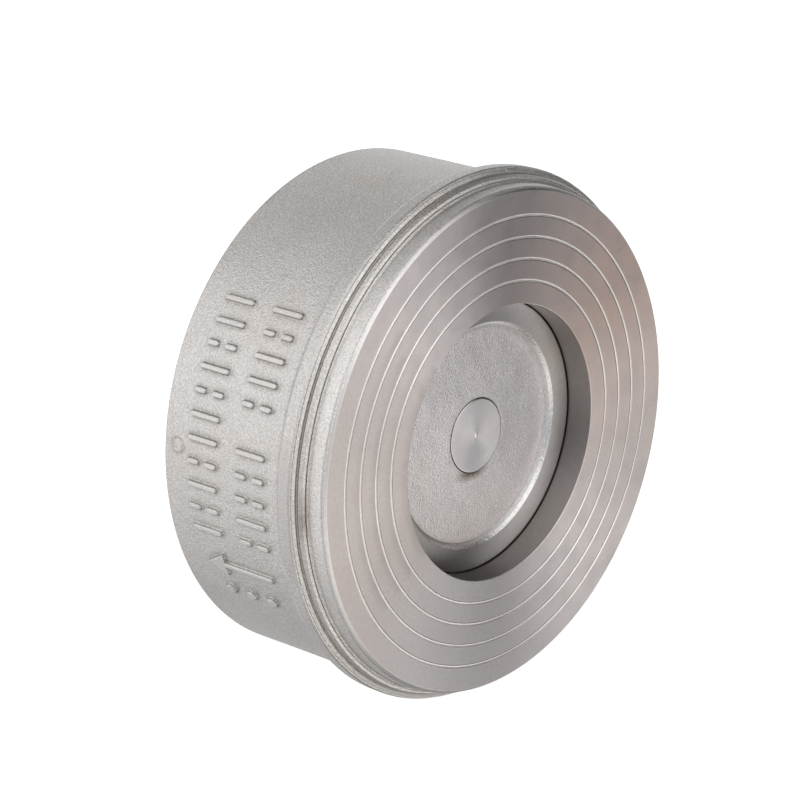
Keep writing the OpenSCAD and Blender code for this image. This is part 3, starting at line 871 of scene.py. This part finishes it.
def make_bracket():
    """One casting: the outer ring, four arms and the hub, melted together with small fillets."""
    low, high = size_of("guide_bracket")
    ring_out, hub_front, hub_back = high[0], low[1], high[1]
    ledge = hub_back - LEDGE_FROM_HUB
    ring_back, ring_in = ledge + 4.5, CHAMBER_R - 2.5
    hub_r, bore, collar_r, collar_y = 10.0, 6.0, 14.0, ledge - 1.0
    ring = lathe("bracket_ring", split_long(rounded([
        (ring_in, ledge, 0.3, 0), (ring_out, ledge, 0.3, 0), (ring_out, ring_back, 0.3, 0),
        (ring_in, ring_back, 0.3, 0)]), 2.0), [BRACKET], 180)
    hub = lathe("bracket_hub", split_long(rounded([
        (bore, hub_front, 0.15, 0), (hub_r, hub_front, 0.2, 0), (hub_r, collar_y, 0.1, 0),
        (collar_r, collar_y, 0.3, 0), (collar_r, collar_y + 2.5, 0.5, 0),
        (hub_r + 0.5, hub_back - 3, 0.8, 0), (hub_r - 1, hub_back, 0.5, 0), (bore, hub_back, 0.15, 0)
    ]), 2.0), [BRACKET], 120)
    bm = bmesh.new()
    for piece in (ring, hub):
        bm.from_mesh(piece.data)
        bpy.data.objects.remove(piece)
    arm = [(hub_r - 1, ledge - 0.5), (ring_in + 1, ledge + 0.5), (ring_in + 1, ring_back),
           (ring_in - 5, ring_back), (hub_r - 1, hub_back - 1.5)]
    for i in range(4):
        add_prism(bm, arm, 6.0, 45 + 90 * i)
    bmesh.ops.recalc_face_normals(bm, faces=bm.faces)
    mesh = bpy.data.meshes.new("bracket")
    bm.to_mesh(mesh)
    bm.free()
    mesh.materials.append(BRACKET)
    bracket = bpy.data.objects.new("guide_bracket_casting", mesh)
    bpy.context.scene.collection.objects.link(bracket)
    melt = bracket.modifiers.new("melt", "REMESH")
    melt.mode = "VOXEL"
    melt.voxel_size = 0.5 * MM
    melt.use_smooth_shade = True
    ease = bracket.modifiers.new("ease", "SMOOTH")
    ease.factor = 0.5
    ease.iterations = 5
    placed(bracket, "housing", "guide_bracket")


def make_bush():
    low, high = size_of("guide_bush")
    bore, flange, sleeve = STEM_R + 0.04, high[0], 6.0
    front = low[1] + TOUCH_GAP
    corners = [(bore, front, 0.3, 0), (flange, front, 0.25, 0), (flange, low[1] + 1, 0.2, 0),
               (sleeve, low[1] + 1, 0.1, 0), (sleeve, high[1], 0.2, 0), (bore, high[1], 0.3, 0)]
    bush = turned_piece("stem_bush", corners, 1.5, [BUSH], 96)
    placed(bush, "housing", "guide_bush")


def finish_retaining_ring():
    """The circlip keeps its CAD mesh, and gets its own steel and bevelled edges."""
    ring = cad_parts["retaining_ring"]
    ring.data.materials.clear()
    ring.data.materials.append(CIRCLIP)
    ease_edges(ring, 0.2, 40)
    keep_flats_flat(ring)


# ---------------------------------------------------------------- studio, in metres

FLOOR_REACH, FLOOR_GLOW = 5.0, 0.75
BACKDROP_R, BACKDROP_GLOW = 4.5, 1.0
BASE_LIGHT = (0.02, 0.02, 0.02)
WHITE, WARM, ROSE, SKY = (1, 1, 1), (1, 0.96, 0.90), (1, 0.90, 0.83), (0.92, 0.96, 1)

# Soft lamps all round: azimuth, elevation and reach to the soft edge in degrees, strength and colour.
LAMPS = [
    (0, 40, 50, 1.06, WHITE),
    (0, 0, 50, 0.42, WHITE),
    (0, -40, 50, 0.78, WARM),
    (-45, -15, 40, 0.37, SKY),
    (50, -45, 25, 1.04, SKY),
    (80, -50, 25, 0.20, WHITE),
    (25, 8, 25, 0.92, WHITE),
    (25, -20, 20, 0.70, ROSE),
    (-90, 40, 50, 1.05, WHITE),
    (-90, -40, 50, 0.50, WHITE),
    (-135, 0, 50, 0.82, WHITE),
    (135, 0, 50, 0.83, WHITE),
    (180, 40, 50, 0.43, WHITE),
    (180, -40, 50, 0.48, WHITE),
]

CAMERA_AZIMUTH, CAMERA_ELEVATION, CAMERA_DISTANCE, LENS_MM = -48.13, 19.05, 0.675, 141.65
AIM = (-0.0121, 0.0186, 0.0086)


def white_stage(name, mesh, glow):
    """A plain white piece of the studio, which the metal doesn't mirror."""
    material, shader, _ = new_material("pale_" + name)
    shader.inputs["Base Color"].default_value = rgb(0.86, 0.86, 0.86)
    shader.inputs["Roughness"].default_value = 0.9
    shader.inputs["Specular IOR Level"].default_value = 0.1
    shader.inputs["Emission Color"].default_value = rgb(1, 1, 1)
    shader.inputs["Emission Strength"].default_value = glow
    mesh.materials.append(material)
    piece = bpy.data.objects.new(name, mesh)
    bpy.context.scene.collection.objects.link(piece)
    piece.visible_glossy = False
    piece.visible_shadow = False
    return piece


def make_floor():
    mesh = bpy.data.meshes.new("floor")
    r, height = FLOOR_REACH, -BEAD_R * MM
    corners = [(-r, -r, height), (r, -r, height), (r, r, height), (-r, r, height)]
    mesh.from_pydata(corners, [], [range(4)])
    white_stage("floor", mesh, FLOOR_GLOW)


def make_backdrop():
    """A white sphere round the floor, so that the horizon is white from any side."""
    mesh = bpy.data.meshes.new("backdrop")
    shell = bmesh.new()
    bmesh.ops.create_uvsphere(shell, u_segments=48, v_segments=24, radius=BACKDROP_R)
    shell.to_mesh(mesh)
    shell.free()
    white_stage("backdrop", mesh, BACKDROP_GLOW).visible_diffuse = False


def direction(azimuth, elevation):
    """Unit vector; azimuth 0 looks out from the inlet face, and grows towards +X."""
    az, el = math.radians(azimuth), math.radians(elevation)
    return (math.cos(el) * math.sin(az), -math.cos(el) * math.cos(az), math.sin(el))


def make_studio():
    """A light tent: an even base with soft, wide lamps around the valve."""
    world = bpy.data.worlds.new("studio")
    world.use_nodes = True
    tree = world.node_tree
    n = Nodes(tree)
    way = n.add("ShaderNodeTexCoord").outputs["Generated"]
    total = n.add("ShaderNodeCombineXYZ", dict(zip("XYZ", BASE_LIGHT))).outputs[0]
    for azimuth, elevation, reach, strength, colour in LAMPS:
        facing = n.vector("DOT_PRODUCT", way, direction(azimuth, elevation))
        edge = math.cos(math.radians(reach))
        share = n.add("ShaderNodeMapRange", {"Value": facing, "From Min": edge, "From Max": 1.0},
                      interpolation_type="SMOOTHSTEP").outputs["Result"]
        glow = n.add("ShaderNodeVectorMath", {0: tuple(strength * c for c in colour)}, operation="SCALE")
        n.put(share, glow.inputs["Scale"])
        total = n.vector("ADD", total, glow.outputs["Vector"])
    n.put(total, tree.nodes["Background"].inputs["Color"])
    bpy.context.scene.world = world
    bpy.context.scene.view_settings.view_transform = "Standard"


def make_camera():
    """The photograph's camera, fitted to the circles that show in it."""
    data = bpy.data.cameras.new("camera")
    data.lens, data.sensor_width = LENS_MM, 36.0
    data.clip_start, data.clip_end = 0.05, 50.0
    camera = bpy.data.objects.new("camera", data)
    away = Vector(direction(CAMERA_AZIMUTH, CAMERA_ELEVATION))
    camera.location = Vector(AIM) + CAMERA_DISTANCE * away
    camera.rotation_euler = away.to_track_quat("Z", "Y").to_euler()
    bpy.context.scene.collection.objects.link(camera)
    bpy.context.scene.camera = camera


make_body()
make_disc()
make_stem()
make_disc_washer()
make_lock_washer()
make_nut()
make_cups()
make_spring()
make_bracket()
make_bush()
finish_retaining_ring()
make_floor()
make_backdrop()
make_studio()
make_camera()

bpy.context.view_layer.update()
